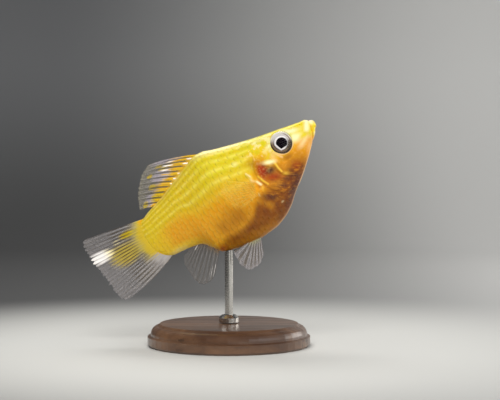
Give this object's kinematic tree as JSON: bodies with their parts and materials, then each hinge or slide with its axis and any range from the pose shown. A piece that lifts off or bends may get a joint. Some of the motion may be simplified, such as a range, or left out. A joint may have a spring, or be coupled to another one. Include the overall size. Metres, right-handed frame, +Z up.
{
  "type": "golden sailfin molly display model",
  "caption": "Life-size still model of a golden molly swimming upward, with ridged fins, held on a round wooden display stand by a thin metal rod.",
  "frame": {"origin": "centre of the flat underside of the stand's base, straight below the rod", "axes": "+X is the way the fish faces, +Y its left side, +Z up; the fish's nose points up and ahead in the XZ plane"},
  "size_m": [0.0629, 0.044, 0.0609],
  "materials": {
    "golden_skin": "satin to glossy scaled skin, yellow back shading to orange flanks and a brown-orange throat",
    "clear_fin": "thin translucent membrane with paler rays, yellow at the roots",
    "eye": "glossy eye with a silver and grey iris and a black pupil",
    "stand_wood": "dark turned wood, satin varnish",
    "stand_metal": "polished metal rod and collar"
  },
  "bodies": {
    "root": {"head": "golden_skin", "trunk": "golden_skin", "tail_stalk": "golden_skin", "eye_left": "eye", "eye_right": "eye", "dorsal_fin": "clear_fin", "caudal_fin": "clear_fin", "anal_fin": "clear_fin", "pelvic_fin_left": "clear_fin", "pelvic_fin_right": "clear_fin", "pectoral_fin_left": "clear_fin", "pectoral_fin_right": "clear_fin", "stand_base": "stand_wood", "stand_rod": "stand_metal", "stand_collar": "stand_metal"}
  },
  "joints": []
}
